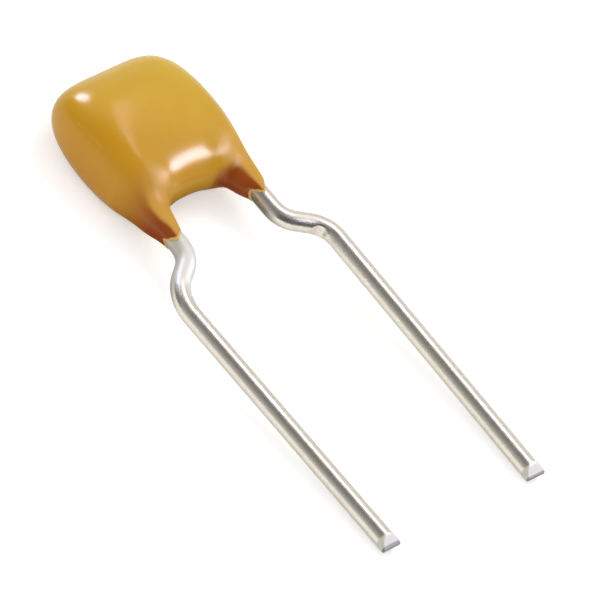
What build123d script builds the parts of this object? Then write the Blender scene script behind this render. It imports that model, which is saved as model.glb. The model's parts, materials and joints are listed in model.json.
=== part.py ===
from build123d import *
import os
from collections import namedtuple
from math import atan2, copysign, cos, degrees, pi, radians, sin, tan

# Radial-lead multilayer ceramic capacitor with a dipped resin coat, in millimetres.
# It is drawn flat, X across the two wires, Y up the body and Z out of its broad face, with
# the ends of the coat's legs at Y = 0, and is then laid on its back, touching at both wire
# ends and under the coat. The origin is on the floor, in the middle of its outline.

# Ceramic chip, over its end caps
chip_length = 2.5
chip_height = 2.0
chip_thickness = 1.2
cap_thickness = 0.06
cap_wrap = 0.45
cap_edge = 0.04

# Electrode plates inside the chip
plates_per_side = 5
plate_thickness = 0.03
plate_end_margin = 0.35
plate_side_margin = 0.25
plate_cover = 0.15

# Tinned wires
wire_diameter = 0.55
lead_pitch = 5.08
lead_length = 10.6
wire_end_inset = 0.25
bend_drop = 0.8
bend_radius = 0.8
bend_angle = 54
pinch_length = 0.3
pinch_width = 0.6
pinch_land = 0.12

# Solder between each wire and its end cap
solder_foot_width = 0.9
solder_film = 0.04
solder_end_cover = 0.12
solder_inset = 0.15

# Dipped resin coat
coat_height = 5.08
face_wall = 0.56
shoulder_wall = 0.36
spring_wall = 0.15
inner_wall = 0.25
tip_wall = 0.03
arch_spring = 0.8
arch_rise = 0.18
arch_wall = 0.75
leg_root_thickness = 1.08
leg_flare = 0.4
round_corner = 0.55
root_corner = 0.77
crown_corner = 0.6
outline_fullness = 5.1
crown_sections = 12
fan_bunching = 1.2
leg_sections = 6
row_steps = 6
coat_tolerance = 0.01

# Sizes that follow
wire_radius = wire_diameter / 2
wire_x = chip_length / 2 + solder_film + wire_radius
tip_radius = wire_radius + tip_wall
coat_half_thickness = chip_thickness / 2 + face_wall
shoulder_x = wire_x + wire_radius + shoulder_wall
spring_x = wire_x + wire_radius + spring_wall
arch_x = wire_x - wire_radius - inner_wall
chip_bottom = arch_spring + arch_rise + arch_wall
chip_middle = chip_bottom + chip_height / 2
core_length = chip_length - 2 * cap_thickness
core_height = chip_height - 2 * cap_thickness
core_thickness = chip_thickness - 2 * cap_thickness
plate_gaps = 2 * plates_per_side - 1
plate_step = (core_thickness - 2 * plate_cover - plate_thickness) / plate_gaps
plate_length = core_length - plate_end_margin
plate_width = core_height - 2 * plate_side_margin
wire_top = chip_bottom + chip_height - wire_end_inset

Section = namedtuple("Section", "inner outer half_thickness corner")


def mix(start, end, share):
    """Value that lies the given share of the way from start to end."""
    return start + (end - start) * share


def ease(share):
    """Share from 0 to 1 with level ends."""
    return share * share * (3 - 2 * share)


def superellipse_reach(angle, half_width, height, fullness):
    """Distance from the centre of a superellipse to its edge, in the given direction."""
    across = abs(cos(angle)) / half_width
    up = abs(sin(angle)) / height
    return (across**fullness + up**fullness) ** (-1 / fullness)


def leg_section(side, share):
    """Section across one leg of the coat, from its tip at 0 to the arch's spring line at 1."""
    level = arch_spring * share
    swell = mix(share, ease(share), leg_flare)
    return Section(
        inner=Vector(side * mix(wire_x - tip_radius, arch_x, swell), level),
        outer=Vector(side * mix(wire_x + tip_radius, spring_x, swell), level),
        half_thickness=mix(tip_radius, leg_root_thickness / 2, swell),
        corner=mix(round_corner, root_corner, swell),
    )


def crown_section(share):
    """Section from the arch to the outline, from the left root at -1 to the right one at 1."""
    angle = pi / 2 * (1 - copysign(1 - (1 - abs(share)) ** fan_bunching, share))
    half_width = mix(shoulder_x, spring_x, cos(angle) ** 4)
    reach = superellipse_reach(angle, half_width, coat_height - arch_spring, outline_fullness)
    swell = ease(sin(angle))
    return Section(
        inner=Vector(arch_x * cos(angle), arch_spring + arch_rise * sin(angle)),
        outer=Vector(reach * cos(angle), arch_spring + reach * sin(angle)),
        half_thickness=mix(leg_root_thickness / 2, coat_half_thickness, swell),
        corner=mix(root_corner, crown_corner, swell),
    )


def curve_point(controls, share):
    """Point on the curve of the given control points, at the given share of its way."""
    while len(controls) > 1:
        controls = [start + (end - start) * share for start, end in zip(controls, controls[1:])]
    return controls[0]


def section_row(section, face):
    """Points over a section from its outer end to its inner one, on the given broad face."""
    middle = (section.inner + section.outer) / 2
    row = []
    for end in (section.outer, section.inner):
        out = Vector(0, 0, face * section.half_thickness)
        controls = [end, end + out * section.corner, mix(middle, end, section.corner) + out, middle + out]
        quarter = [curve_point(controls, step / row_steps) for step in range(row_steps + 1)]
        row += quarter if end == section.outer else reversed(quarter[:-1])
    return row


leg_shares = [step / leg_sections for step in range(leg_sections)]
crown_shares = [step / crown_sections for step in range(-crown_sections, crown_sections + 1)]
coat_sections = [leg_section(-1, share) for share in leg_shares]
coat_sections += [crown_section(share) for share in crown_shares]
coat_sections += [leg_section(1, share) for share in reversed(leg_shares)]

# The floor passes under the heels of the wire ends and touches the coat from below.
heel_y = pinch_length - lead_length
coat_side_view = [
    (point.Y, point.Z) for section in coat_sections for point in section_row(section, -1)
]
rest_tilt = max(atan2(-wire_radius - z, y - heel_y) for y, z in coat_side_view)
foremost = -lead_length * cos(rest_tilt) - pinch_land / 2 * sin(rest_tilt)
rearmost = max(y * cos(rest_tilt) - z * sin(rest_tilt) for y, z in coat_side_view)
rest = Location(
    (0, -(foremost + rearmost) / 2, wire_radius * cos(rest_tilt) - heel_y * sin(rest_tilt)),
    (degrees(rest_tilt), 0, 0),
)
lying = Plane(rest)


def laid(plane):
    """The plane drawn flat, moved to where the capacitor lies."""
    return Plane(rest * plane.location)


def chip_plane(x=0, z=0):
    """Plane parallel to the broad face, at the chip's middle plus the given steps."""
    return laid(Plane((x, chip_middle, z)))


os.makedirs("parts", exist_ok=True)

# Electrode plates: two combs that interleave, each one open to its own end cap
electrodes = []
for side, name in ((-1, "electrodes_left"), (1, "electrodes_right")):
    with BuildPart() as comb:
        for layer in range(plates_per_side):
            level = (4 * layer + side + 1) / 2 * plate_step
            level -= plate_gaps * plate_step / 2
            with BuildSketch(chip_plane(side * plate_end_margin / 2, level - plate_thickness / 2)):
                Rectangle(plate_length, plate_width)
            extrude(amount=plate_thickness)
    comb.part.label = name
    export_step(comb.part, f"parts/{name}.step")
    electrodes.append(comb)

# Fired ceramic block, with a slot for each plate
with BuildPart() as block_form:
    with BuildSketch(chip_plane(0, -core_thickness / 2)):
        Rectangle(core_length, core_height)
    extrude(amount=core_thickness)
with BuildPart() as ceramic_block:
    add(block_form.part)
    for comb in electrodes:
        add(comb.part, mode=Mode.SUBTRACT)
ceramic_block.part.label = "ceramic_block"
export_step(ceramic_block.part, "parts/ceramic_block.step")
inner_pieces = [block_form]

for side, hand in ((-1, "left"), (1, "right")):
    # End cap: a five-sided metal shell over the end of the block
    with BuildPart(chip_plane(side * (chip_length - cap_wrap) / 2)) as end_cap:
        Box(cap_wrap, chip_height, chip_thickness)
        chamfer(end_cap.edges(), length=cap_edge)
        with Locations((-side * cap_thickness, 0, 0)):
            Box(cap_wrap, core_height, core_thickness, mode=Mode.SUBTRACT)
    end_cap.part.label = f"end_cap_{hand}"
    export_step(end_cap.part, f"parts/end_cap_{hand}.step")

    # Wire: up beside the end cap, cranked out to the pitch, pinched off at the tip
    crank_bottom = -bend_drop - (lead_pitch / 2 - wire_x) / tan(radians(bend_angle))
    with BuildPart() as lead:
        with BuildLine(laid(Plane.XY)) as route:
            FilletPolyline(
                (side * wire_x, wire_top),
                (side * wire_x, -bend_drop),
                (side * lead_pitch / 2, crank_bottom),
                (side * lead_pitch / 2, heel_y),
                radius=bend_radius,
            )
        with BuildSketch(Plane(route.line @ 0, z_dir=route.line % 0)):
            Circle(wire_radius)
        sweep()
        with BuildSketch(laid(Plane.XZ.offset(-heel_y))):
            with Locations((side * lead_pitch / 2, 0)):
                Circle(wire_radius)
        with BuildSketch(laid(Plane.XZ.offset(lead_length))):
            with Locations((side * lead_pitch / 2, 0)):
                Rectangle(pinch_width, pinch_land)
        loft()
    lead.part.label = f"lead_{hand}"
    export_step(lead.part, f"parts/lead_{hand}.step")

    # Solder: a tapering bead between the end cap and the wire, closed over the wire's end
    solder_start = chip_bottom + solder_inset
    solder_length = wire_top + solder_end_cover - solder_start
    with BuildPart() as solder:
        with BuildSketch(laid(Plane.XZ.offset(-solder_start))):
            with BuildLine():
                Line(
                    (side * chip_length / 2, -solder_foot_width / 2),
                    (side * chip_length / 2, solder_foot_width / 2),
                )
                CenterArc((side * wire_x, 0), wire_radius + solder_film, 0, 360)
            make_hull()
        extrude(amount=-solder_length)
        add(lead.part, mode=Mode.SUBTRACT)
        add(end_cap.part, mode=Mode.SUBTRACT)
    solder.part.label = f"solder_joint_{hand}"
    export_step(solder.part, f"parts/solder_joint_{hand}.step")
    inner_pieces += [end_cap, lead, solder]

# Resin coat: one dipped piece, thick over the chip and drawn out to two legs round an arch.
# A smooth surface over each broad face meets the other along the outline and the arch.
coat_faces = []
for face in (-1, 1):
    rows = [section_row(section, face) for section in coat_sections]
    laid_rows = [[lying.from_local_coords(point) for point in row] for row in rows]
    coat_faces.append(Face.make_surface_from_array_of_points(laid_rows, tol=coat_tolerance))
for side in (-1, 1):
    tip = lying.from_local_coords(Vector(side * wire_x, 0, 0))
    rims = [face.edges().sort_by_distance(tip)[0] for face in coat_faces[:2]]
    coat_faces.append(Face(Wire(rims)))
with BuildPart() as coating:
    add(Solid(Shell(coat_faces)))
    for piece in inner_pieces:
        add(piece.part, mode=Mode.SUBTRACT)
coating.part.label = "coating"
export_step(coating.part, "parts/coating.step")
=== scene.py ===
"""Dressed model of a radial-lead ceramic capacitor that lies on its back.

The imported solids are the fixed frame. The dipped coat and the two wires are modelled again here
with the finish of the real ones, and the chip inside the coat keeps its solids. Everything is
worked out flat, in millimetres: X across the wires, Y up the body, Z out of its broad face, with
the ends of the coat's legs at Y = 0. The finished meshes are then laid down, in metres.
"""

import json
import logging
from dataclasses import dataclass, field
from enum import Enum
from functools import reduce
from math import atan2, cos, degrees, pi, radians, sin, sqrt, tan
from typing import Any, Sequence, Union

import bmesh
import bpy
import numpy as np
from mathutils import Matrix, Vector, noise

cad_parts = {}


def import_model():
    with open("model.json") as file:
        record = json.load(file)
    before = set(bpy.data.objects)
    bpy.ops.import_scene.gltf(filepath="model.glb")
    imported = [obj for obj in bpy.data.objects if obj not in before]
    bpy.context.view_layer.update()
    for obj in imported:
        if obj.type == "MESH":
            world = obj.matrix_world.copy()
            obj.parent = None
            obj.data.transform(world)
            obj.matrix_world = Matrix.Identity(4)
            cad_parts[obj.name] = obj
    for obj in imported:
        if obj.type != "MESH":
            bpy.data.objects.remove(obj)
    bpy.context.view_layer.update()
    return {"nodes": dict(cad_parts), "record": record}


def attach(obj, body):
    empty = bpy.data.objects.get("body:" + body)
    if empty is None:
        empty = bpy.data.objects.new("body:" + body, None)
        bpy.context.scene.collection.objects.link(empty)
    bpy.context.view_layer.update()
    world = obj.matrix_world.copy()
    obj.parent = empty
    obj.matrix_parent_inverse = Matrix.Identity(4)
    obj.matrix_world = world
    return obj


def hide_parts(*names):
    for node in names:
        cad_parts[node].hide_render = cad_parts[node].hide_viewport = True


MM = 0.001
BODY = "root"
RUN_MIDDLE = -6.108  # flat Y of the middle of the wires' straight runs, in millimetres
THIN_SHADE = "thin"  # attribute of the coat: 0 full, 1 brown for thin resin and painted shade, RIM at the very end of a leg
RIM = 2.0
DRAWN = "drawn"  # attribute of the wires: place along the wire and in its round, in millimetres

log = logging.getLogger("capacitor")

Operand = Union["Value", float]
Colour = tuple[float, float, float, float]


class Side(Enum):
    """Which half of the capacitor a piece belongs to, as the sign of its X."""

    LEFT = -1
    RIGHT = 1

    @property
    def hand(self) -> str:
        """The word used in the names of the nodes."""
        return self.name.lower()


# ---- Node trees ----


class NodeSheet:
    """A shader or geometry tree that is filled in node by node."""

    def __init__(self, tree: bpy.types.NodeTree) -> None:
        """Wraps an empty tree.

        Args:
            tree: The tree to fill in.
        """
        self.tree = tree

    def ray_kinds(self) -> tuple["Value", "Value"]:
        """Whether a ray comes from the camera, and whether it was mirrored or let through."""
        rays = self.node("ShaderNodeLightPath").outputs
        mirrored = self.value(rays["Is Glossy Ray"]) + self.value(rays["Is Transmission Ray"])
        return self.value(rays["Is Camera Ray"]), mirrored.at_most(1.0)

    def node(
        self,
        kind: str,
        settings: dict[str, Any] | None = None,
        inputs: dict[Any, Any] | None = None,
    ) -> bpy.types.Node:
        """Adds one node.

        Args:
            kind: The node's type name.
            settings: Properties of the node, set before its sockets are touched.
            inputs: For each input, by name or place, a value, a socket or a Value to link.

        Returns:
            The new node.
        """
        made = self.tree.nodes.new(kind)
        for name, setting in (settings or {}).items():
            setattr(made, name, setting)
        for key, given in (inputs or {}).items():
            self.feed(made.inputs[key], given)
        return made

    def feed(self, socket: bpy.types.NodeSocket, given: Any) -> None:
        """Links or sets one input socket.

        Args:
            socket: The input.
            given: A Value, an output socket or a plain value.
        """
        if isinstance(given, Value):
            given = given.socket
        if isinstance(given, bpy.types.NodeSocket):
            self.tree.links.new(given, socket)
        else:
            socket.default_value = given

    def value(self, socket: bpy.types.NodeSocket) -> "Value":
        """Wraps an output so that it can be used in expressions."""
        return Value(self, socket)

    def vector(self, x: Any, y: Any, z: Any) -> bpy.types.NodeSocket:
        """A vector of three coordinates."""
        return self.node("ShaderNodeCombineXYZ", None, {0: x, 1: y, 2: z}).outputs[0]

    def axes(self, vector: bpy.types.NodeSocket) -> list["Value"]:
        """The three coordinates of a vector."""
        made = self.node("ShaderNodeSeparateXYZ", None, {0: vector})
        return [self.value(made.outputs[letter]) for letter in "XYZ"]


class Value:
    """A number that varies over a surface. Its arithmetic adds Math nodes to the tree."""

    def __init__(self, sheet: NodeSheet, socket: bpy.types.NodeSocket) -> None:
        """Wraps an output socket.

        Args:
            sheet: The tree that new nodes are added to.
            socket: The output that carries the number.
        """
        self.sheet = sheet
        self.socket = socket

    def _math(self, operation: str, *operands: Operand) -> "Value":
        """Adds a Math node on the given operands and returns its result."""
        made = self.sheet.node(
            "ShaderNodeMath", {"operation": operation}, dict(enumerate(operands))
        )
        return Value(self.sheet, made.outputs[0])

    def __add__(self, other: Operand) -> "Value":
        """This value plus another."""
        return self._math("ADD", self, other)

    __radd__ = __add__

    def __sub__(self, other: Operand) -> "Value":
        """This value less another."""
        return self._math("SUBTRACT", self, other)

    def __rsub__(self, other: Operand) -> "Value":
        """Another value less this one."""
        return self._math("SUBTRACT", other, self)

    def __mul__(self, other: Operand) -> "Value":
        """This value times another."""
        return self._math("MULTIPLY", self, other)

    __rmul__ = __mul__

    def __truediv__(self, other: Operand) -> "Value":
        """This value divided by another."""
        return self._math("DIVIDE", self, other)

    def __abs__(self) -> "Value":
        """This value without its sign."""
        return self._math("ABSOLUTE", self)

    def at_most(self, limit: Operand) -> "Value":
        """The smaller of this value and the limit."""
        return self._math("MINIMUM", self, limit)

    def at_least(self, limit: Operand) -> "Value":
        """The larger of this value and the limit."""
        return self._math("MAXIMUM", self, limit)

    def rise(self, start: float, end: float) -> "Value":
        """Smooth share from 0 at start to 1 at end.

        Args:
            start: The value where the rise begins.
            end: The value where it is complete. It may be the smaller of the two.

        Returns:
            The share, held at 0 and 1 outside the span.
        """
        low, high = min(start, end), max(start, end)
        made = self.sheet.node(
            "ShaderNodeMapRange",
            {"interpolation_type": "SMOOTHSTEP", "clamp": True},
            {"Value": self, "From Min": low, "From Max": high},
        )
        share = Value(self.sheet, made.outputs[0])
        return share if start < end else 1.0 - share


class Paint(NodeSheet):
    """A material's tree, with the patterns that the finishes share."""

    def __init__(self, name: str) -> None:
        """Starts an empty material.

        Args:
            name: The material's name.
        """
        self.material = bpy.data.materials.new(name)
        self.material.use_nodes = True
        super().__init__(self.material.node_tree)
        self.tree.nodes.clear()

    def place(self, lie: "Lie") -> bpy.types.NodeSocket:
        """Object coordinates turned back to the flat drawing, in millimetres.

        Args:
            lie: Where the flat drawing lies.

        Returns:
            The coordinates' socket.
        """
        here = self.node("ShaderNodeTexCoord").outputs["Object"]
        turned = Matrix.Rotation(-lie.tilt, 3, "X") @ (-lie.origin / MM)
        mapped = self.node(
            "ShaderNodeMapping",
            {"vector_type": "POINT"},
            {
                "Vector": here,
                "Scale": (1 / MM,) * 3,
                "Rotation": (-lie.tilt, 0.0, 0.0),
                "Location": turned,
            },
        )
        return mapped.outputs[0]

    def clouds(
        self,
        vector: bpy.types.NodeSocket,
        per_mm: float,
        detail: float = 2.0,
        stretch: Sequence[float] = (1.0, 1.0, 1.0),
    ) -> Value:
        """Soft noise from about -1 to 1.

        Args:
            vector: Where it is read, in millimetres.
            per_mm: Number of clouds to a millimetre.
            detail: Number of finer layers.
            stretch: Factor on each coordinate before it is read.

        Returns:
            The noise.
        """
        at = self.node("ShaderNodeVectorMath", {"operation": "MULTIPLY"}, {0: vector, 1: stretch})
        made = self.node(
            "ShaderNodeTexNoise",
            {"noise_dimensions": "3D"},
            {"Vector": at.outputs[0], "Scale": per_mm, "Detail": detail},
        )
        return (self.value(made.outputs[0]) - 0.5) * 2.0

    def blend(self, share: Operand, first: Any, second: Any) -> bpy.types.NodeSocket:
        """A colour between two others.

        Args:
            share: How much of the second colour there is.
            first: Colour or socket at a share of 0.
            second: Colour or socket at a share of 1.

        Returns:
            The mixed colour's socket.
        """
        made = self.node("ShaderNodeMix", {"data_type": "RGBA", "clamp_factor": True}, {0: share})
        self.feed(made.inputs[6], first)
        self.feed(made.inputs[7], second)
        return made.outputs[2]

    def bump(self, height: Value, depth_mm: float) -> bpy.types.NodeSocket:
        """A normal raised by a height that runs from about -1 to 1.

        Args:
            height: The height.
            depth_mm: How far a height of 1 stands proud, in millimetres.

        Returns:
            The normal's socket.
        """
        made = self.node(
            "ShaderNodeBump", None, {"Strength": 1.0, "Distance": depth_mm * MM, "Height": height}
        )
        return made.outputs[0]

    def close(self, shader: bpy.types.Node) -> bpy.types.Material:
        """Joins the shader to the output and hands over the material."""
        self.node("ShaderNodeOutputMaterial", None, {"Surface": shader.outputs[0]})
        return self.material


# ---- Where things lie ----


@dataclass(frozen=True)
class Lie:
    """How the flat drawing is laid on the floor.

    Attributes:
        tilt: Angle by which the body end is raised about X, in radians.
        origin: Place of the flat drawing's origin, in metres.
    """

    tilt: float
    origin: Vector

    @classmethod
    def of_record(cls, record: dict[str, Any], run_middle: float) -> "Lie":
        """Reads the lie from the mounts on the wires' straight runs.

        Args:
            record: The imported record.
            run_middle: Flat Y of the middle of those runs, in millimetres.

        Returns:
            The lie of the capacitor.
        """
        left, right = (
            next(m for m in record["mounts"] if m["name"] == f"lead_{side.hand}") for side in Side
        )
        along = Vector(left["axis"])
        tilt = atan2(-along.z, -along.y)
        middle = (Vector(left["pos_m"]) + Vector(right["pos_m"])) / 2
        return cls(tilt, middle + along.normalized() * run_middle * MM)

    @property
    def matrix(self) -> Matrix:
        """Takes flat millimetres to where the capacitor lies, in metres."""
        turn = Matrix.Rotation(self.tilt, 4, "X")
        return Matrix.Translation(self.origin) @ turn @ Matrix.Scale(MM, 4)


def mix(start: Any, end: Any, share: float) -> Any:
    """Value that lies the given share of the way from start to end."""
    return start + (end - start) * share


def ease(share: float) -> float:
    """Share from 0 to 1 with level ends, held at those outside."""
    share = min(max(share, 0.0), 1.0)
    return share * share * (3 - 2 * share)


def stand(name: str, mesh: bpy.types.Mesh, material: bpy.types.Material) -> bpy.types.Object:
    """Puts a finished mesh in the scene.

    Args:
        name: The piece's name.
        mesh: Its mesh, in place and in metres.
        material: Its only material.

    Returns:
        The object, which sits at the origin.
    """
    mesh.name = name
    mesh.materials.clear()
    mesh.materials.append(material)
    piece = bpy.data.objects.new(name, mesh)
    bpy.context.scene.collection.objects.link(piece)
    return piece


# ---- Finishes ----


@dataclass(frozen=True)
class FlowMark:
    """Fine crease left in the resin of the left wall, by its ends in flat Y and Z, which also
    carries a painted glint.

    Attributes:
        top: Upper end, in millimetres.
        bottom: Lower end, in millimetres.
        width: Half its width, in millimetres.
        inset: Flat X that the wall lies beyond, in millimetres.
        fade: Half the length over which each end fades out, in millimetres.
        wall_fade: Width over which it fades in on the wall, in millimetres.
    """

    top: tuple[float, float]
    bottom: tuple[float, float]
    width: float = 0.035
    inset: float = -1.6
    fade: float = 0.1
    wall_fade: float = 0.2

    def height(self, paint: "Paint", spot: bpy.types.NodeSocket) -> Value:
        """How much of the crease there is at a place.

        Args:
            paint: The material's tree.
            spot: Flat place, in millimetres.

        Returns:
            1 along the crease, 0 off it.
        """
        x, y, z = paint.axes(spot)
        slope = (self.top[1] - self.bottom[1]) / (self.top[0] - self.bottom[0])
        off = abs(z - self.bottom[1] - (y - self.bottom[0]) * slope)
        along = y.rise(self.bottom[0] - self.fade, self.bottom[0] + self.fade)
        along = along * y.rise(self.top[0] + self.fade, self.top[0] - self.fade)
        wall = x.rise(self.inset + self.wall_fade, self.inset)
        return off.rise(self.width, 0.0) * along * wall


@dataclass(frozen=True)
class ResinFinish:
    """Glossy ochre epoxy. Its colour holds painted light and shade: yellower towards the crown and
    the right as painted light, a deeper ochre on the left wall as painted shade, brown where the
    resin runs thin and as painted shade on the legs' sides that face left and under the arch, and
    a painted glint along the flow marks.

    Depths are in millimetres, and scales in clouds to a millimetre. The slopes are how fast a
    colour comes in over the flat drawing, up it and across it. The sways are how much the slow
    and the fine clouds move it. The legs' pairs are where their matter finish starts and is full.
    """

    yellow: Colour = (0.72, 0.475, 0.03, 1.0)
    ochre: Colour = (0.585, 0.292, 0.006, 1.0)
    deep_ochre: Colour = (0.6, 0.252, 0.001, 1.0)
    brown: Colour = (0.3, 0.05, 0.0005, 1.0)
    rim: Colour = (0.64, 0.42, 0.11, 1.0)
    drift_per_mm: float = 0.5
    grain_per_mm: float = 9.0
    ripple_per_mm: float = 1.4
    crown_slope: tuple[float, float] = (0.22, 0.13)
    crown_start: float = 0.45
    crown_sway: tuple[float, float] = (0.35, 0.05)
    wall_slope: float = 0.5
    wall_start: float = 0.55
    wall_sway: float = 0.3
    brown_sway: tuple[float, float] = (0.2, 0.06)
    mark_yellow: float = 0.25
    legs_below: tuple[float, float] = (2.0, 1.25)
    legs_beyond: tuple[float, float] = (0.75, 1.4)
    roughness: float = 0.2
    leg_roughness: float = 0.5
    unevenness: float = 0.02
    gloss_coat: float = 0.1
    gloss_coat_roughness: float = 0.3
    ripple_depth: float = 0.003
    ripple_grain: float = 0.08
    mark_depth: float = 0.012
    marks: tuple[FlowMark, ...] = (
        FlowMark((3.27, 0.64), (2.79, 0.68)),
        FlowMark((3.84, 0.54), (3.45, 0.65), 0.025),
    )

    def material(self, lie: Lie) -> bpy.types.Material:
        """Builds the material, which reads how thin the resin runs from the mesh.

        Args:
            lie: Where the flat drawing lies.

        Returns:
            The finished material.
        """
        paint = Paint("dipped_resin")
        spot = paint.place(lie)
        x, y, _ = paint.axes(spot)
        drift = paint.clouds(spot, self.drift_per_mm, 3.0)
        grain = paint.clouds(spot, self.grain_per_mm)
        # Painted light: yellower up the body and towards the right, the side that the light comes
        # from.
        crown = y * self.crown_slope[0] + x * self.crown_slope[1] - self.crown_start
        crown = crown + drift * self.crown_sway[0] + grain * self.crown_sway[1]
        # Painted shade: a deeper ochre on the left wall, which faces away from the light.
        wall = x * -self.wall_slope + drift * self.wall_sway - self.wall_start
        body = paint.blend(crown, self.ochre, self.yellow)
        body = paint.blend(wall, body, self.deep_ochre)
        # Brown where the resin runs thin, and painted shade on the sides that face left and under
        # the arch.
        read = paint.node("ShaderNodeAttribute", {"attribute_name": THIN_SHADE})
        thin = paint.value(read.outputs["Fac"])
        drained = thin.at_most(1.0)
        sway = drift * self.brown_sway[0] + grain * self.brown_sway[1]
        colour = paint.blend(drained + drained * sway, body, self.brown)
        colour = paint.blend((thin - 1.0).at_least(0.0), colour, self.rim)
        # The flow marks are real creases in the bump, and their lighter yellow is a painted glint.
        marks = sum(mark.height(paint, spot) for mark in self.marks)
        colour = paint.blend(marks * self.mark_yellow, colour, self.yellow)
        legs = y.rise(*self.legs_below) * abs(x).rise(*self.legs_beyond) * (1.0 - drained)
        rough = legs * self.leg_roughness + (grain + drift) * self.unevenness + self.roughness
        ripple = paint.clouds(spot, self.ripple_per_mm) + grain * self.ripple_grain
        shader = paint.node(
            "ShaderNodeBsdfPrincipled",
            None,
            {
                "Base Color": colour,
                "Roughness": rough,
                "IOR": 1.4,
                "Coat Weight": self.gloss_coat,
                "Coat Roughness": self.gloss_coat_roughness,
                "Normal": paint.bump(ripple * self.ripple_depth + marks * self.mark_depth, 1.0),
            },
        )
        return paint.close(shader)


@dataclass(frozen=True)
class TinFinish:
    """Bright tinned wire, drawn lengthwise and faintly mottled.

    Attributes:
        name: The material's name.
        frost: How frosted the tin is beside the coat, from 0 to 1.
        frost_reach: Where along the wire the frost starts and is full, in millimetres.
        bright: Colour of the tin.
        dull: Colour where it is tarnished.
        frosted: Colour of full frost.
        roughness: Roughness away from the frost.
        frost_roughness: Roughness that full frost adds.
        line_depth: Depth of the drawing lines, in millimetres.
        line_stretch: How much the noise that draws them is squeezed, along the wire and across.
        mottle_per_mm: Scale of the fine mottling.
        pool_per_mm: Scale of the tarnish.
        pool_stretch: How much the tarnish is squeezed, along the wire and across.
        tarnish: The mean share of the dull colour.
        tarnish_sway: How much the mottling and the tarnish move that share.
        rough_sway: How much the mottling and the lines move the roughness.
        bump_shares: How much of the bump comes from the lines and from the mottling.
        frost_dulling: How much of the metal's shine full frost takes away.
        bevel_reach: Where along the wire the cutter's bevels start, in millimetres.
        bevel_frost: How frosted the bevels are, from 0 to 1.
        land_reach: Where the torn land at the wire's very end starts, in millimetres.
        cut: Colour of the bevels.
        torn: Colour of the torn land.
    """

    name: str
    frost: float
    frost_reach: tuple[float, float] = (5.7, 4.9)
    bright: Colour = (0.89, 0.84, 0.745, 1.0)
    dull: Colour = (0.78, 0.705, 0.59, 1.0)
    roughness: float = 0.27
    frosted: Colour = (0.64, 0.62, 0.535, 1.0)
    frost_roughness: float = 0.25
    line_depth: float = 0.0008
    line_stretch: tuple[float, float, float] = (1.2, 26.0, 26.0)
    mottle_per_mm: float = 5.0
    pool_per_mm: float = 0.8
    pool_stretch: tuple[float, float, float] = (0.6, 1.0, 1.0)
    tarnish: float = 0.35
    tarnish_sway: tuple[float, float] = (0.35, 0.3)
    rough_sway: tuple[float, float] = (0.07, 0.04)
    bump_shares: tuple[float, float] = (0.6, 0.8)
    frost_dulling: float = 0.6
    bevel_reach: tuple[float, float] = (14.15, 14.25)
    bevel_frost: float = 0.75
    land_reach: tuple[float, float] = (14.41, 14.45)
    cut: Colour = (0.60, 0.58, 0.52, 1.0)
    torn: Colour = (0.22, 0.20, 0.17, 1.0)

    def material(self) -> bpy.types.Material:
        """Builds the material, which reads the wire's own drawn attribute."""
        paint = Paint(self.name)
        drawn = paint.node("ShaderNodeAttribute", {"attribute_name": DRAWN}).outputs["Vector"]
        lines = paint.clouds(drawn, 1.0, 3.0, self.line_stretch)
        mottle = paint.clouds(drawn, self.mottle_per_mm, 4.0)
        pool = paint.clouds(drawn, self.pool_per_mm, 2.0, self.pool_stretch)
        along = paint.axes(drawn)[0]
        bevel = along.rise(*self.bevel_reach)
        frost = (along.rise(*self.frost_reach) * self.frost).at_least(bevel * self.bevel_frost)
        dull = mottle * self.tarnish_sway[0] + pool * self.tarnish_sway[1] + self.tarnish
        colour = paint.blend(dull, self.bright, self.dull)
        colour = paint.blend(frost, colour, self.frosted)
        colour = paint.blend(bevel, colour, self.cut)
        colour = paint.blend(along.rise(*self.land_reach), colour, self.torn)
        rough = mottle * self.rough_sway[0] + lines * self.rough_sway[1]
        height = lines * self.bump_shares[0] + mottle * self.bump_shares[1]
        shader = paint.node(
            "ShaderNodeBsdfPrincipled",
            None,
            {
                "Base Color": colour,
                "Metallic": (1.0 - frost * self.frost_dulling) * (1.0 - bevel),
                "Roughness": rough + frost * self.frost_roughness + self.roughness,
                "Normal": paint.bump(height, self.line_depth),
            },
        )
        return paint.close(shader)


@dataclass(frozen=True)
class FiredFinish:
    """Plain finish of an inner piece, mottled as a fired or plated surface is.

    Attributes:
        name: The material's name.
        light: Its lighter colour.
        dark: Its darker colour.
        metallic: 1 for a metal, 0 for ceramic.
        roughness: Its mean roughness.
        clouds_per_mm: Scale of its mottling.
        depth: Depth of its pitting, in millimetres.
        unevenness: How much its roughness varies.
    """

    name: str
    light: Colour
    dark: Colour
    metallic: float
    roughness: float
    clouds_per_mm: float
    depth: float
    unevenness: float = 0.08

    def material(self, lie: Lie) -> bpy.types.Material:
        """Builds the material.

        Args:
            lie: Where the flat drawing lies.

        Returns:
            The finished material.
        """
        paint = Paint(self.name)
        spot = paint.place(lie)
        mottle = paint.clouds(spot, self.clouds_per_mm, 4.0)
        shader = paint.node(
            "ShaderNodeBsdfPrincipled",
            None,
            {
                "Base Color": paint.blend(mottle * 0.5 + 0.5, self.light, self.dark),
                "Metallic": self.metallic,
                "Roughness": mottle * self.unevenness + self.roughness,
                "Normal": paint.bump(mottle, self.depth),
            },
        )
        return paint.close(shader)


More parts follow.
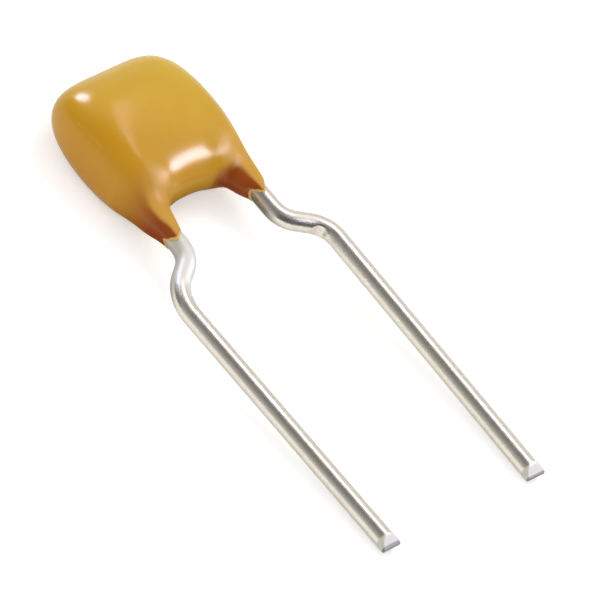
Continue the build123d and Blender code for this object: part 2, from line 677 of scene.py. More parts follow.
@dataclass(frozen=True)
class PaperFinish:
    """Seamless white paper, which glows a little where it is seen or mirrored.

    Attributes:
        white: Its lighter colour.
        fibre: Its darker colour.
        fibres_per_m: Scale of its mottling.
        seen_glow: Light added where the camera sees it.
        mirrored_glow: Light added where a surface mirrors it.
        shade: How dark the paper beside and under the legs is in a mirroring surface.
        shade_left: X over which that shade comes in, in millimetres.
        shade_right: X over which it goes out again, from its far end.
        shade_front: Y over which it comes in.
        shade_back: Y over which it goes out again, from its far end.
    """

    white: Colour = (0.90, 0.90, 0.90, 1.0)
    fibre: Colour = (0.885, 0.885, 0.885, 1.0)
    fibres_per_m: float = 900.0
    seen_glow: float = 0.4
    mirrored_glow: float = 0.1
    shade: float = 0.75
    shade_left: tuple[float, float] = (-3.9, -3.1)
    shade_right: tuple[float, float] = (2.0, 0.8)
    shade_front: tuple[float, float] = (1.0, 3.0)
    shade_back: tuple[float, float] = (5.0, 4.0)

    def material(self) -> bpy.types.Material:
        """Builds the material."""
        paint = Paint("paper_floor")
        here = paint.node("ShaderNodeTexCoord").outputs["Object"]
        fibres = paint.clouds(here, self.fibres_per_m)
        seen, mirrored = paint.ray_kinds()
        x, y, _ = (part / MM for part in paint.axes(here))
        across = x.rise(*self.shade_left) * x.rise(*self.shade_right)
        along = y.rise(*self.shade_front) * y.rise(*self.shade_back)
        dim = mirrored * across * along * self.shade
        white = paint.blend(fibres * 0.5 + 0.5, self.white, self.fibre)
        matt = paint.node(
            "ShaderNodeBsdfDiffuse",
            None,
            {"Color": paint.blend(dim, white, (0.0, 0.0, 0.0, 1.0)), "Roughness": 0.9},
        )
        glow = paint.node(
            "ShaderNodeEmission",
            None,
            {"Strength": seen * self.seen_glow + (mirrored - dim) * self.mirrored_glow},
        )
        both = paint.node("ShaderNodeAddShader", None, {0: matt.outputs[0], 1: glow.outputs[0]})
        return paint.close(both)


# ---- Dipped coat ----


@dataclass(frozen=True)
class Section:
    """One cut through the coat, from its inner to its outer edge.

    Attributes:
        inner: Point on the arch or the leg's inner side.
        outer: Point on the outline.
        half_thickness: Reach out of the broad faces at its middle.
        corner: How square its outer corners are, from 0 to 1.
        inner_corner: How square its inner corners are, from 0 to 1.
        leg: How far the cut is down a leg: 0 on the body, 1 at the leg's end.
    """

    inner: Vector
    outer: Vector
    half_thickness: float
    corner: float
    inner_corner: float
    leg: float


@dataclass(frozen=True)
class DippedCoat:
    """The resin coat: thick over the chip and drawn out to two legs round an arch.

    All lengths are in flat millimetres. The comments below say what each group is for. Where a
    pair belongs to the two legs, the left one's number comes first.
    """

    # The solid's own sizes
    wire_x: float = 1.565
    tip_radius: float = 0.305
    height: float = 5.08
    half_thickness: float = 1.16
    shoulder_x: float = 2.2
    spring_x: float = 1.99
    arch_x: float = 1.04
    arch_spring: float = 0.8
    arch_rise: float = 0.18
    root_half_thickness: float = 0.54
    round_corner: float = 0.55
    root_corner: float = 0.77
    crown_corner: float = 0.6
    fullness: float = 5.1
    fan_bunching: float = 1.2
    leg_flare: float = 0.4
    narrowing: int = 4

    # How the legs grow out of the body
    crown_flare: float = 0.5
    arch_drop: float = 0.12
    root_softness: float = 0.35
    root_smoothing: int = 200
    root_span: int = 36

    # How the coat sits off true, in millimetres and radians, and how slowly it wanders
    shift: Vector = field(default_factory=lambda: Vector((-0.033, 0.0, -0.038)))
    lean: float = -0.022
    wander: float = 0.012
    wander_seed: int = 1
    wander_per_mm: float = 0.5
    wander_spot: Vector = field(default_factory=lambda: Vector((3.1, 0.4, 7.7)))
    floor_softness: float = 0.02

    # Where the coat ends on the wires: for directions out of the wire, in degrees from +X
    # towards +Z, how far it stops short. That dies out up the leg, and a little noise is added.
    left_end: tuple[tuple[float, float], ...] = (
        (38.0, 0.04),
        (80.0, -0.13),
        (115.0, -0.25),
        (145.0, -0.16),
        (175.0, 0.0),
        (194.0, -0.14),
        (225.0, -0.14),
        (300.0, -0.05),
    )
    right_end: tuple[tuple[float, float], ...] = (
        (38.0, 0.25),
        (60.0, 0.13),
        (103.0, -0.1),
        (127.0, 0.03),
        (151.0, 0.16),
        (170.0, 0.14),
        (192.0, 0.08),
        (225.0, 0.08),
        (300.0, 0.1),
    )
    end_fading: int = 4
    rag: float = 0.02
    rag_scale: float = 2.5
    rag_step: float = 5.0
    lip_radius: float = 0.05

    # Where the coat is painted brown, partly for resin that runs thin and partly as painted shade
    # on sides that face left and down: the levels at which that starts and is full on each leg,
    # how far a side has to face left, the X under the arch, the downward part of the normal there,
    # how quickly it comes in, and the last stretch, where it goes further round
    thin_below: tuple[float, float] = (2.0, 1.05)
    thin_fully: tuple[float, float] = (0.1, 0.8)
    thin_facing: tuple[float, float] = (0.22, 0.1)
    thin_under: tuple[float, float] = (0.45, 0.9)
    thin_downward: float = 0.25
    thin_turn: float = 0.38
    thin_end: float = 0.5

    # Fineness of the skin
    leg_cuts: int = 40
    crown_cuts: int = 70
    quarter_steps: int = 20
    lip_steps: int = 5

    def leg_section(self, side: int, share: float) -> Section:
        """Cut across one leg.

        Args:
            side: -1 for the left leg, 1 for the right one.
            share: 0 at the leg's end, 1 at the arch's spring line.

        Returns:
            The cut.
        """
        swell = mix(share, ease(share), self.leg_flare)
        level = self.arch_spring * share
        low, high = self.wire_x - self.tip_radius, self.wire_x + self.tip_radius
        start = level - self.arch_drop * ease(share)
        return Section(
            Vector((side * mix(low, self.arch_x, swell), start, 0.0)),
            Vector((side * mix(high, self.spring_x, swell), level, 0.0)),
            mix(self.tip_radius, self.root_half_thickness, swell),
            mix(self.round_corner, self.root_corner, swell),
            mix(self.round_corner, self.root_corner - self.root_softness, ease(share)),
            1.0 - share,
        )

    def crown_section(self, share: float) -> Section:
        """Cut from the arch to the outline.

        Args:
            share: -1 at the left leg's root, 0 at the middle, 1 at the right leg's root.

        Returns:
            The cut.
        """
        turned = 1 - (1 - abs(share)) ** self.fan_bunching
        angle = pi / 2 * (1 - (turned if share > 0 else -turned))
        half_width = mix(self.shoulder_x, self.spring_x, cos(angle) ** self.narrowing)
        across = abs(cos(angle)) / half_width
        up = abs(sin(angle)) / (self.height - self.arch_spring)
        reach = (across**self.fullness + up**self.fullness) ** (-1 / self.fullness)
        swell = mix(sin(angle), ease(sin(angle)), self.crown_flare)
        rise = mix(-self.arch_drop, self.arch_rise, sin(angle))
        corner = mix(self.root_corner, self.crown_corner, swell)
        return Section(
            Vector((self.arch_x * cos(angle), self.arch_spring + rise, 0.0)),
            Vector((reach * cos(angle), self.arch_spring + reach * sin(angle), 0.0)),
            mix(self.root_half_thickness, self.half_thickness, swell),
            corner,
            corner - self.root_softness * (1 - ease(sin(angle))),
            0.0,
        )

    def sections(self) -> list[Section]:
        """The cuts from the left leg's end, round the crown, to the right leg's end."""
        legs = [step / self.leg_cuts for step in range(self.leg_cuts)]
        crown = [step / self.crown_cuts for step in range(-self.crown_cuts, self.crown_cuts + 1)]
        return [
            *(self.leg_section(-1, share) for share in legs),
            *(self.crown_section(share) for share in crown),
            *(self.leg_section(1, share) for share in reversed(legs)),
        ]

    def quarter(self, section: Section, end: Vector, face: int) -> list[Vector]:
        """Points from one edge of a cut up to the middle of a broad face.

        Args:
            section: The cut.
            end: The edge that they start from.
            face: 1 for the front face, -1 for the back one.

        Returns:
            The points, both ends included.
        """
        middle = (section.inner + section.outer) / 2
        out = Vector((0.0, 0.0, face * section.half_thickness))
        corner = section.inner_corner if end == section.inner else section.corner
        bend = (end, end + out * corner, mix(middle, end, corner) + out, middle + out)
        points = []
        for step in range(self.quarter_steps + 1):
            t = step / self.quarter_steps
            s = 1 - t
            weights = (s**3, 3 * s * s * t, 3 * s * t * t, t**3)
            points.append(sum((p * w for p, w in zip(bend, weights)), Vector()))
        return points

    def ring(self, section: Section) -> list[Vector]:
        """Closed ring of points round a cut, from its outer edge over the front face."""
        points = []
        for face, ends in ((1, ("outer", "inner")), (-1, ("inner", "outer"))):
            up, down = (self.quarter(section, getattr(section, end), face) for end in ends)
            points += up[:-1] + down[:0:-1]
        return points

    def lip(self, side: int, ring: list[Vector]) -> list[list[Vector]]:
        """Rounded lip that closes a leg's end on to its wire.

        Args:
            side: -1 for the left leg, 1 for the right one.
            ring: The ring at the leg's end.

        Returns:
            Rings from just below the leg's end to just inside the wire.
        """
        centre = Vector((side * self.wire_x, ring[0].y, 0.0))
        rings = []
        for step in range(1, self.lip_steps + 1):
            turn = pi / 2 * step / self.lip_steps
            shrink = (1 - cos(turn)) * self.lip_radius
            drop = sin(turn) * self.lip_radius
            made = []
            for point in ring:
                away = Vector((point.x - centre.x, 0.0, point.z))
                made.append(point - away.normalized() * shrink + Vector((0.0, -drop, 0.0)))
            rings.append(made)
        return rings

    def end_rise(self, side: int, round_wire: float) -> float:
        """How far the coat stops short of its drawn end, round the wire.

        Args:
            side: -1 for the left leg, 1 for the right one.
            round_wire: Direction out of the wire, from +X towards +Z, in radians.

        Returns:
            The rise in millimetres, negative where the coat runs on.
        """
        angle = degrees(round_wire) % 360.0
        marks = self.right_end if side > 0 else self.left_end
        marks = (*marks, (marks[0][0] + 360.0, marks[0][1]))
        angle += 360.0 if angle < marks[0][0] else 0.0
        spot = Vector((cos(round_wire), sin(round_wire), side * self.rag_step))
        rag = noise.noise(spot * self.rag_scale) * self.rag
        for (start, low), (end, high) in zip(marks, marks[1:]):
            if start <= angle <= end:
                return mix(low, high, ease((angle - start) / (end - start))) + rag
        return 0.0

    def dip(self, point: Vector, leg: float) -> Vector:
        """Moves a drawn point to where the resin really set.

        Args:
            point: The drawn point.
            leg: How far down a leg it is: 0 on the body, 1 at the leg's end.

        Returns:
            The moved point.
        """
        side = -1 if point.x < 0 else 1
        body = 1 - ease(leg)
        slow = noise.noise_vector(point * self.wander_per_mm + self.wander_spot)
        moved = point + (self.shift + slow * self.wander) * body
        moved = Matrix.Rotation(self.lean, 3, "X") @ moved
        round_wire = atan2(point.z, point.x - side * self.wire_x)
        moved.y += leg**self.end_fading * self.end_rise(side, round_wire)
        return moved

    def thinness(self, point: Vector, normal: Vector) -> float:
        """How much brown a point gets, from 0 to 1: partly thin resin, partly painted shade.

        It is painted low on the legs, on the sides that face left, and down the arch's right end,
        where shade falls and where the resin drains.

        Args:
            point: The point, in flat millimetres.
            normal: The skin's outward direction there.

        Returns:
            The share of the brown that shows.
        """
        right = point.x > 0
        start, full = self.thin_below[right], self.thin_fully[right]
        drained = ease((start - point.y) / (start - full))
        near_end = ease((self.thin_end - point.y) / self.thin_end) * self.thin_facing[right]
        # Painted shade: sides that face left, and faces that look down under the arch's right end.
        start, full = self.thin_under
        under = (-normal.y - self.thin_downward) * ease((point.x - start) / (full - start))
        facing_shade = max(-normal.x, under) - self.thin_facing[right] + near_end
        return drained * ease(facing_shade / self.thin_turn)

    def smooth_roots(self, skin: np.ndarray) -> None:
        """Rounds the change of direction where the legs grow out of the body.

        Args:
            skin: The rows of points, changed in place.
        """
        rows = np.arange(len(skin))
        root = self.lip_steps + self.leg_cuts
        away = np.minimum(abs(rows - root), abs(rows - root - 2 * self.crown_cuts))
        near = np.clip(1 - away / self.root_span, 0, 1)[:, None, None]
        share = near * near * (3 - 2 * near) / 2
        for _ in range(self.root_smoothing):
            along = (np.roll(skin, 1, 0) + np.roll(skin, -1, 0)) / 2
            around = (np.roll(skin, 1, 1) + np.roll(skin, -1, 1)) / 2
            along[:, :, 2] = (along[:, :, 2] + around[:, :, 2]) / 2
            skin += share * (along - skin)

    def mesh(self, lie: Lie) -> bpy.types.Mesh:
        """Builds the closed skin of the coat.

        Args:
            lie: Where the flat drawing lies.

        Returns:
            The mesh, in place.
        """
        sections = self.sections()
        rows = [(self.ring(section), section.leg) for section in sections]
        left_lip, right_lip = self.lip(-1, rows[0][0]), self.lip(1, rows[-1][0])
        rows = [(ring, 1.0) for ring in reversed(left_lip)] + rows
        rows += [(ring, 1.0) for ring in right_lip]
        form = bmesh.new()
        thin = form.verts.layers.float.new(THIN_SHADE)
        noise.seed_set(self.wander_seed)
        skin = np.array([[self.dip(point, leg) for point in ring] for ring, leg in rows])
        self.smooth_roots(skin)
        grid = [[form.verts.new(point) for point in ring] for ring in skin]
        for low, high in zip(grid, grid[1:]):
            for i in range(len(low)):
                j = (i + 1) % len(low)
                form.faces.new((low[i], low[j], high[j], high[i]))
        form.faces.new(grid[0][::-1])
        form.faces.new(grid[-1])
        bmesh.ops.recalc_face_normals(form, faces=form.faces)
        form.normal_update()
        # Brown share of each point: thin resin, and painted shade by which way the skin faces.
        for vert in form.verts:
            vert[thin] = self.thinness(vert.co, vert.normal)
        for ring in (*grid[: self.lip_steps + 2], *grid[-self.lip_steps - 2 :]):
            for vert in ring:
                vert[thin] = RIM
        for vert in form.verts:
            vert.co = self.laid(lie, vert.co)
        mesh = bpy.data.meshes.new("dipped_coat")
        form.to_mesh(mesh)
        form.free()
        mesh.shade_smooth()
        return mesh

    def laid(self, lie: Lie, point: Vector) -> Vector:
        """Lays a flat point down and keeps it on the floor.

        Args:
            lie: Where the flat drawing lies.
            point: The point, in flat millimetres.

        Returns:
            Its place in metres.
        """
        place = lie.matrix @ point
        soft = self.floor_softness * MM
        place.z = (place.z + sqrt(place.z * place.z + soft * soft)) / 2
        return place

    def build(self, lie: Lie, finish: ResinFinish) -> bpy.types.Object:
        """Makes the piece, hangs it on the body and hides the solid that it replaces.

        Args:
            lie: Where the flat drawing lies.
            finish: The resin's finish.

        Returns:
            The piece.
        """
        piece = stand("dipped_coat", self.mesh(lie), finish.material(lie))
        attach(piece, BODY)
        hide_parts("coating")
        return piece


# ---- Tinned wires ----

@dataclass(frozen=True)
class WireTree:
    """Geometry tree that draws a round wire along a path of edges and pinches off its end.

    Attributes:
        name: The tree's name.
        round_points: Number of points round the wire.
        bend_points: Number of points in each bend.
        sizes: Names of its inputs, which are those of TinnedWire's sizes.
    """

    name: str = "drawn_wire"
    round_points: int = 56
    bend_points: int = 24
    sizes: tuple[str, ...] = (
        *("radius", "bend_radius", "crank_radius", "step", "tip_level", "axis"),
        *("pinch_length", "pinch_width", "pinch_land"),
        *("nick_x", "nick_y", "nick_z", "nick_reach", "nick_depth"),
    )

    def tree(self) -> bpy.types.NodeTree:
        """Builds the tree, with the sizes and the finish as named inputs."""
        group = bpy.data.node_groups.new(self.name, "GeometryNodeTree")
        face = group.interface
        face.new_socket("Geometry", in_out="INPUT", socket_type="NodeSocketGeometry")
        for size in self.sizes:
            face.new_socket(size, in_out="INPUT", socket_type="NodeSocketFloat")
        face.new_socket("finish", in_out="INPUT", socket_type="NodeSocketMaterial")
        face.new_socket("Geometry", in_out="OUTPUT", socket_type="NodeSocketGeometry")
        sheet = NodeSheet(group)
        given = sheet.node("NodeGroupInput").outputs
        size = {name: sheet.value(given[name]) for name in self.sizes}
        path = sheet.node("GeometryNodeMeshToCurve", None, {"Mesh": given["Geometry"]})
        corner = sheet.value(sheet.node("GeometryNodeInputIndex").outputs[0]) - 1.0
        lower = corner.at_least(0.0).at_most(1.0)
        bend = mix(size["bend_radius"], size["crank_radius"], lower)
        bent = sheet.node(
            "GeometryNodeFilletCurve",
            {"mode": "POLY"},
            {"Curve": path.outputs[0], "Count": self.bend_points, "Radius": bend},
        )
        stepped = sheet.node(
            "GeometryNodeResampleCurve",
            {"mode": "LENGTH"},
            {"Curve": bent.outputs[0], "Length": given["step"]},
        )
        along = self.capture(
            sheet, stepped.outputs[0], sheet.node("GeometryNodeSplineParameter").outputs["Length"]
        )
        circle = sheet.node(
            "GeometryNodeCurvePrimitiveCircle",
            {"mode": "RADIUS"},
            {"Resolution": self.round_points, "Radius": given["radius"]},
        )
        place = sheet.node("GeometryNodeInputPosition").outputs[0]
        across = self.capture(sheet, circle.outputs["Curve"], place)
        skin = sheet.node(
            "GeometryNodeCurveToMesh",
            None,
            {"Curve": along[0], "Profile Curve": across[0], "Fill Caps": True},
        )
        side, front, _ = sheet.axes(across[1])
        drawn = sheet.vector(along[1], side, front)
        marked = sheet.node(
            "GeometryNodeStoreNamedAttribute",
            {"data_type": "FLOAT_VECTOR", "domain": "POINT"},
            {"Geometry": skin.outputs[0], "Name": DRAWN, "Value": drawn},
        )
        pinched = sheet.node(
            "GeometryNodeSetPosition",
            None,
            {"Geometry": marked.outputs[0], "Position": self.pinch(sheet, size, place)},
        )
        nicked = sheet.node(
            "GeometryNodeSetPosition",
            None,
            {"Geometry": pinched.outputs[0], "Offset": self.nick(sheet, size, place)},
        )
        smooth = sheet.node("GeometryNodeSetShadeSmooth", None, {"Geometry": nicked.outputs[0]})
        real = sheet.node("GeometryNodeRealizeInstances", None, {0: smooth.outputs[0]})
        dressed = sheet.node(
            "GeometryNodeSetMaterial",
            None,
            {"Geometry": real.outputs[0], "Material": given["finish"]},
        )
        sheet.node("NodeGroupOutput", None, {0: dressed.outputs[0]})
        return group

    def capture(
        self, sheet: NodeSheet, curve: bpy.types.NodeSocket, field_socket: bpy.types.NodeSocket
    ) -> tuple[bpy.types.NodeSocket, bpy.types.NodeSocket]:
        """Holds a field on a curve's points.

        Args:
            sheet: The tree.
            curve: The curve.
            field_socket: The field to hold.

        Returns:
            The curve and the held field.
        """
        made = sheet.node("GeometryNodeCaptureAttribute", {"domain": "POINT"})
        kind = "VECTOR" if field_socket.type == "VECTOR" else "FLOAT"
        made.capture_items.new(kind, "held")
        sheet.feed(made.inputs[0], curve)
        sheet.feed(made.inputs[1], field_socket)
        return made.outputs[0], made.outputs[1]

    def pinch(
        self, sheet: NodeSheet, size: dict[str, Value], place: bpy.types.NodeSocket
    ) -> bpy.types.NodeSocket:
        """Position of the skin with its last stretch cut to a wedge.

        The cutter's two jaws leave flat bevels that meet in a narrow land, and press the metal
        a little wider there.

        Args:
            sheet: The tree.
            size: The group's inputs by name.
            place: The skin's position before the cut.

        Returns:
            The position after it.
        """
        x, y, z = sheet.axes(place)
        length = size["pinch_length"]
        share = ((length + size["tip_level"] - y) / length).at_least(0.0)
        wall = (size["radius"] - size["pinch_land"] / 2.0) * share
        limit = size["radius"] - wall
        cut = z.at_most(limit).at_least(limit * -1.0)
        spread = (size["pinch_width"] / (size["radius"] * 2.0) - 1.0) * share * share
        wide = size["axis"] + (x - size["axis"]) * (spread + 1.0)
        return sheet.vector(wide, y, cut)

    def nick(
        self, sheet: NodeSheet, size: dict[str, Value], place: bpy.types.NodeSocket
    ) -> bpy.types.NodeSocket:
        """Offset of the skin where the forming tool's edge pressed it in.

        Args:
            sheet: The tree.
            size: The group's inputs by name.
            place: The skin's position.

        Returns:
            The offset.
        """
        middle = sheet.vector(*(size[f"nick_{axis}"] for axis in "xyz"))
        gap = sheet.node("ShaderNodeVectorMath", {"operation": "DISTANCE"}, {0: place, 1: middle})
        share = (1.0 - sheet.value(gap.outputs["Value"]) / size["nick_reach"]).at_least(0.0)
        depth = (share * 2.0).at_most(1.0) * size["nick_depth"] * -1.0
        normal = sheet.node("GeometryNodeInputNormal").outputs[0]
        made = sheet.node(
            "ShaderNodeVectorMath", {"operation": "SCALE"}, {0: normal, "Scale": depth}
        )
        return made.outputs[0]


@dataclass(frozen=True)
class TinnedWire:
    """One wire: up beside the chip, cranked out to the pitch, pinched off at its end.

    All lengths are in millimetres and flat. The crank differs a little between the two wires,
    as it does on a part that has been handled.

    Attributes:
        side: Which wire it is.
        bend_drop: Level of the upper bend's corner, below the coat.
        crank_height: How much lower the lower bend's corner is.
        crank_x: Distance of that corner from the middle.
        tip_x: Distance of the wire's end from the middle.
        bend_radius: Radius of the upper bend's middle line.
        crank_radius: Radius of the lower bend's middle line.
        nick_x: Place of the forming tool's mark.
        nick_y: The same, up the body.
        nick_z: The same, out of its broad face.
        nick_depth: Depth of the mark.
        nick_reach: How far round its place it reaches.
        radius: Half the wire's diameter.
        top: Level of its upper end, inside the coat.
        start_x: Distance of its upper run from the middle.
        length: Level of its tip, below the coat.
        pinch_length: Length of the bevels at its tip.
        pinch_width: Width of the tip across the bevels.
        pinch_land: Thickness of the land between them.
        step: Distance between its rings of points.
    """

    side: Side
    bend_drop: float
    crank_height: float
    crank_x: float
    tip_x: float
    bend_radius: float
    crank_radius: float
    nick_x: float = 0.0
    nick_y: float = 0.0
    nick_z: float = 0.0
    nick_depth: float = 0.0
    nick_reach: float = 0.2
    radius: float = 0.275
    top: float = 3.48
    start_x: float = 1.565
    length: float = 10.6
    pinch_length: float = 0.3
    pinch_width: float = 0.6
    pinch_land: float = 0.1
    step: float = 0.03

    @property
    def axis(self) -> float:
        """Flat X of the wire's tip."""
        return self.side.value * self.tip_x

    @property
    def tip_level(self) -> float:
        """Flat Y of the wire's tip."""
        return -self.length

    def route(self) -> list[Vector]:
        """Corners of the wire's path, from its top to its tip."""
        sign = self.side.value
        return [
            Vector((sign * self.start_x, self.top, 0.0)),
            Vector((sign * self.start_x, -self.bend_drop, 0.0)),
            Vector((sign * self.crank_x, -self.bend_drop - self.crank_height, 0.0)),
            Vector((self.axis, self.tip_level, 0.0)),
        ]

    def mesh(
        self, lie: Lie, tree: bpy.types.NodeTree, material: bpy.types.Material
    ) -> bpy.types.Mesh:
        """Draws the wire along its path.

        Args:
            lie: Where the flat drawing lies.
            tree: The geometry tree that draws wires.
            material: The tin's material.

        Returns:
            The plain mesh, in place.
        """
        path = bpy.data.meshes.new("wire_path")
        corners = self.route()
        path.from_pydata(corners, [(i, i + 1) for i in range(len(corners) - 1)], [])
        draft = bpy.data.objects.new("wire_path", path)
        bpy.context.scene.collection.objects.link(draft)
        modifier = draft.modifiers.new("draw", "NODES")
        modifier.node_group = tree
        for item in tree.interface.items_tree:
            if item.in_out == "INPUT" and item.name in (*WireTree.sizes, "finish"):
                value = material if item.name == "finish" else getattr(self, item.name)
                modifier[item.identifier] = value
        graph = bpy.context.evaluated_depsgraph_get()
        mesh = bpy.data.meshes.new_from_object(
            draft.evaluated_get(graph), preserve_all_data_layers=True, depsgraph=graph
        )
        bpy.data.objects.remove(draft)
        mesh.transform(lie.matrix)
        return mesh

    def build(
        self, lie: Lie, tree: bpy.types.NodeTree, material: bpy.types.Material
    ) -> bpy.types.Object:
        """Makes the piece, hangs it on the body and hides the solid that it replaces.

        Args:
            lie: Where the flat drawing lies.
            tree: The geometry tree that draws wires.
            material: The tin's material.

        Returns:
            The piece.
        """
        piece = stand(f"tinned_wire_{self.side.hand}", self.mesh(lie, tree, material), material)
        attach(piece, BODY)
        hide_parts(f"lead_{self.side.hand}")
        return piece


# ---- Chip inside the coat ----


@dataclass(frozen=True)
class BuriedChip:
    """The chip, its plates, its end caps and their solder, which keep their solids."""

    ceramic: FiredFinish = FiredFinish(
        "fired_ceramic", (0.56, 0.47, 0.36, 1.0), (0.44, 0.36, 0.27, 1.0), 0.0, 0.55, 6.0, 0.002
    )
    plate: FiredFinish = FiredFinish(
        "fired_plate", (0.60, 0.58, 0.54, 1.0), (0.44, 0.42, 0.39, 1.0), 1.0, 0.45, 9.0, 0.001
    )
    cap: FiredFinish = FiredFinish(
        "plated_cap", (0.74, 0.73, 0.71, 1.0), (0.62, 0.61, 0.59, 1.0), 1.0, 0.3, 5.0, 0.002
    )
    solder: FiredFinish = FiredFinish(
        "bright_solder", (0.72, 0.72, 0.71, 1.0), (0.58, 0.58, 0.57, 1.0), 1.0, 0.22, 3.0, 0.004
    )

    def dress(self, nodes: dict[str, bpy.types.Object], lie: Lie) -> list[str]:
        """Gives each inner solid its finish.

        Args:
            nodes: The frame's nodes by name.
            lie: Where the flat drawing lies.

        Returns:
            The names of the dressed nodes.
        """
        finishes = {
            "ceramic_block": self.ceramic,
            "electrodes_": self.plate,
            "end_cap_": self.cap,
            "solder_joint_": self.solder,
        }
        dressed = []
        for start, finish in finishes.items():
            material = finish.material(lie)
            for name in sorted(nodes):
                if name.startswith(start):
                    nodes[name].data.materials.clear()
                    nodes[name].data.materials.append(material)
                    dressed.append(name)
        return dressed


# ---- Studio ----


def direction(azimuth: float, elevation: float) -> Vector:
    """Direction from the object to something that stands round it.

    Args:
        azimuth: 0 in front, on the side of -Y, and 90 on the side of +X, in degrees.
        elevation: Angle above the horizon, in degrees.

    Returns:
        A vector of length 1.
    """
    a, e = radians(azimuth), radians(elevation)
    return Vector((sin(a) * cos(e), -cos(a) * cos(e), sin(e)))


@dataclass(frozen=True)
class SoftBox:
    """One soft box that gives a highlight: a glowing card with faded edges.

    Attributes:
        azimuth: Where it stands round the object, in degrees.
        elevation: How high it stands, in degrees.
        spread: Its half width and half height as seen from the object, in degrees.
        strength: Its brightness, where 1 is white.
        tint: Its colour.
        turn: How far it is turned about the line to the object, in degrees.
        distance: How far off it is, in metres.
    """

    azimuth: float
    elevation: float
    spread: tuple[float, float]
    strength: float
    turn: float = 0.0
    tint: Colour = (1.0, 0.93, 1.0, 1.0)
    distance: float = 0.3

    def build(self, name: str, aim: Vector) -> None:
        """Hangs the card up, where only reflections see it.

        Args:
            name: The card's name.
            aim: The point that it faces.
        """
        wide, high = (tan(radians(angle)) * self.distance for angle in self.spread)
        form = bmesh.new()
        corners = ((-wide, -high), (wide, -high), (wide, high), (-wide, high))
        form.faces.new([form.verts.new((x, y, 0.0)) for x, y in corners])
        mesh = bpy.data.meshes.new(name)
        form.to_mesh(mesh)
        form.free()
        card = stand(name, mesh, self.glow(name, wide, high))
        back = direction(self.azimuth, self.elevation)
        facing = back.to_track_quat("Z", "Y").to_matrix().to_4x4()
        turned = facing @ Matrix.Rotation(radians(self.turn), 4, "Z")
        card.matrix_world = Matrix.Translation(aim + back * self.distance) @ turned
        card.visible_camera = False
        card.visible_diffuse = False
        card.visible_shadow = False

    def glow(self, name: str, wide: float, high: float) -> bpy.types.Material:
        """Material that glows at the card's middle and fades out towards its edge.

        Args:
            name: The material's name.
            wide: Half the card's width, in metres.
            high: Half its height, in metres.

        Returns:
            The material.
        """
        paint = Paint(name)
        x, y, _ = paint.axes(paint.node("ShaderNodeTexCoord").outputs["Object"])
        across, up = x / wide, y / high
        reach = across * across + up * up
        light = paint.node(
            "ShaderNodeEmission",
            None,
            {"Color": self.tint, "Strength": reach.rise(1.0, 0.3) * self.strength},
        )
        clear = paint.node("ShaderNodeBsdfTransparent")
        both = paint.node("ShaderNodeAddShader", None, {0: light.outputs[0], 1: clear.outputs[0]})
        return paint.close(both)


@dataclass(frozen=True)
class Opening:
    """One dark gap in the white tent, as mirrored by the capacitor.

    Attributes:
        azimuth: Direction of its middle, in degrees.
        elevation: Height of its middle, in degrees.
        edge: Angles from the middle where it starts and is full, in degrees.
        skyline: Upward parts of a direction between which it fades in over the floor.
        depth: How dark it is, from 0 to 1.
    """

    azimuth: float
    elevation: float
    edge: tuple[float, float]
    skyline: tuple[float, float]
    depth: float

    def darkness(self, sheet: NodeSheet, way: bpy.types.NodeSocket) -> Value:
        """How much the opening darkens a direction.

        Args:
            sheet: The world's tree.
            way: The direction.

        Returns:
            How dark it is there, from 0 to the opening's depth.
        """
        middle = direction(self.azimuth, self.elevation)
        dot = sheet.node("ShaderNodeVectorMath", {"operation": "DOT_PRODUCT"}, {0: way, 1: middle})
        edge, full = (cos(radians(angle)) for angle in self.edge)
        inside = sheet.value(dot.outputs["Value"]).rise(edge, full)
        return inside * sheet.axes(way)[2].rise(*self.skyline) * self.depth


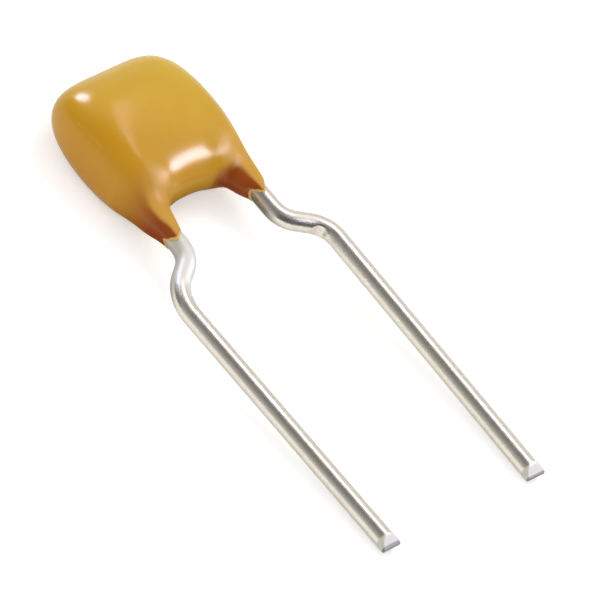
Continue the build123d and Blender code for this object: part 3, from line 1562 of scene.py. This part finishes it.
@dataclass(frozen=True)
class Studio:
    """White paper in a white tent that is open and dark on the camera's side.

    Angles are in degrees, and lengths in metres unless said otherwise.

    Attributes:
        azimuth: Direction of the camera.
        elevation: Height of the camera.
        roll: How far it is turned about its line of sight.
        aim: The point at the middle of the picture, in millimetres.
        view_width: How much the picture shows across, in millimetres.
        lens: Focal length, in millimetres.
        sensor: Width of the film, in millimetres.
        floor_radius: Reach of the paper.
        tent_mirrored: How bright a mirroring surface shows the tent.
        tent_light: How bright the tent is as a light.
        openings: Its dark gaps.
        boxes: The soft boxes that give the highlights.
        key_azimuth: Direction of the key lamp.
        key_elevation: Height of the key lamp.
        key_distance: How far off it is.
        key_size: Its diameter.
        key_power: Its power, in watts.
    """

    azimuth: float = -57.32376
    elevation: float = 46.15485
    roll: float = 22.63736
    aim: tuple[float, float, float] = (-1.19108, -1.40913, 2.61633)
    view_width: float = 15.503875969
    lens: float = 1200.0
    sensor: float = 36.0
    floor_radius: float = 1.2
    tent_mirrored: float = 0.68
    tent_light: float = 0.8
    openings: tuple[Opening, ...] = (
        Opening(-110.0, 43.0, (50.0, 32.0), (-0.4, 1.2), 0.84),
        Opening(-32.0, 24.0, (54.0, 34.0), (-0.4, 0.0), 0.9),
        Opening(-70.0, 78.0, (32.0, 12.0), (-1.0, -0.9), 0.55),
        Opening(-152.0, 12.0, (34.0, 18.0), (-0.3, 0.0), 0.8),
    )
    boxes: tuple[SoftBox, ...] = (
        SoftBox(167.0, 26.0, (11.0, 11.0), 24.0, 0.0, (0.6, 0.68, 1.0, 1.0)),
        SoftBox(47.0, 39.0, (30.0, 11.0), 25.0, -33.0, (0.72, 0.74, 1.0, 1.0)),
        SoftBox(129.0, 60.0, (6.0, 25.0), 3.6, 16.0),
    )
    key_azimuth: float = 95.0
    key_elevation: float = 58.0
    key_distance: float = 0.35
    key_size: float = 0.2
    key_power: float = 0.33

    def build(self) -> None:
        """Sets up everything that isn't part of the capacitor."""
        bpy.context.scene.view_settings.view_transform = "Standard"
        aim = Vector(self.aim) * MM
        self.floor()
        self.world()
        for number, box in enumerate(self.boxes):
            box.build(f"soft_box_{number + 1}", aim)
        self.key(aim)
        self.camera(aim)

    def floor(self) -> None:
        """Lays the paper."""
        form = bmesh.new()
        bmesh.ops.create_circle(form, cap_ends=True, segments=96, radius=self.floor_radius)
        mesh = bpy.data.meshes.new("paper")
        form.to_mesh(mesh)
        form.free()
        stand("paper", mesh, PaperFinish().material())

    def world(self) -> None:
        """White all round, softer as light, and dark in reflections on the camera's side."""
        world = bpy.data.worlds.new("white_tent")
        bpy.context.scene.world = world
        world.use_nodes = True
        sheet = NodeSheet(world.node_tree)
        sheet.tree.nodes.clear()
        way = sheet.node("ShaderNodeTexCoord").outputs["Generated"]
        first, *others = (opening.darkness(sheet, way) for opening in self.openings)
        dark = reduce(Value.at_least, others, first)
        seen, mirrored = sheet.ray_kinds()
        in_mirror = self.tent_mirrored * (1.0 - dark)
        strength = mix(mix(self.tent_light, in_mirror, mirrored), 1.0, seen)
        light = sheet.node(
            "ShaderNodeBackground", None, {"Color": (1.0, 1.0, 1.0, 1.0), "Strength": strength}
        )
        sheet.node("ShaderNodeOutputWorld", None, {"Surface": light.outputs[0]})

    def key(self, aim: Vector) -> None:
        """Hangs the large soft lamp that shapes the form.

        Args:
            aim: The point that it faces.
        """
        data = bpy.data.lights.new("key_lamp", "AREA")
        data.shape = "DISK"
        data.size = self.key_size
        data.energy = self.key_power
        lamp = bpy.data.objects.new("key_lamp", data)
        back = direction(self.key_azimuth, self.key_elevation)
        lamp.location = aim + back * self.key_distance
        lamp.rotation_mode = "QUATERNION"
        lamp.rotation_quaternion = (-back).to_track_quat("-Z", "Y")
        lamp.visible_glossy = False
        bpy.context.scene.collection.objects.link(lamp)

    def camera(self, aim: Vector) -> None:
        """Sets the camera up.

        Args:
            aim: The point at the middle of the picture.
        """
        back = direction(self.azimuth, self.elevation)
        data = bpy.data.cameras.new("camera")
        data.lens = self.lens
        data.sensor_width = self.sensor
        distance = self.lens / self.sensor * self.view_width * MM
        data.clip_start, data.clip_end = distance * 0.1, distance * 10
        camera = bpy.data.objects.new("camera", data)
        camera.location = aim + back * distance
        camera.rotation_mode = "QUATERNION"
        level = (-back).to_track_quat("-Z", "Y").to_matrix()
        camera.rotation_quaternion = (
            level @ Matrix.Rotation(radians(self.roll), 3, "Z")
        ).to_quaternion()
        bpy.context.scene.collection.objects.link(camera)
        bpy.context.scene.camera = camera


# ---- The whole capacitor ----


def report(piece: bpy.types.Object) -> None:
    """Logs a piece's name, faces and size."""
    size = [round(length / MM, 2) for length in piece.dimensions]
    log.info("%s: %d faces, %s mm", piece.name, len(piece.data.polygons), size)


def main() -> None:
    """Builds the dressed capacitor and its studio."""
    logging.basicConfig(level=logging.INFO, format="%(name)s: %(message)s")
    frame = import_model()
    lie = Lie.of_record(frame["record"], RUN_MIDDLE)
    log.info("lies at %.3f degrees", degrees(lie.tilt))

    report(DippedCoat().build(lie, ResinFinish()))
    tree = WireTree().tree()
    frosted, plain = TinFinish("tin_frosted", 1.0), TinFinish("tin_plain", 0.0)
    left = TinnedWire(
        Side.LEFT,
        bend_drop=0.73,
        crank_height=0.86,
        crank_x=2.745,
        tip_x=2.585,
        bend_radius=0.85,
        crank_radius=1.4,
    )
    right = TinnedWire(
        Side.RIGHT,
        bend_drop=0.886,
        crank_height=0.76,
        crank_x=2.59,
        tip_x=2.535,
        bend_radius=0.76,
        crank_radius=0.9,
        nick_x=2.2,
        nick_y=-1.73,
        nick_z=0.06,
        nick_depth=0.06,
    )
    for wire, tin in ((left, frosted), (right, plain)):
        report(wire.build(lie, tree, tin.material()))
    for name in BuriedChip().dress(frame["nodes"], lie):
        report(frame["nodes"][name])
    Studio().build()


if __name__ == "__main__":
    main()
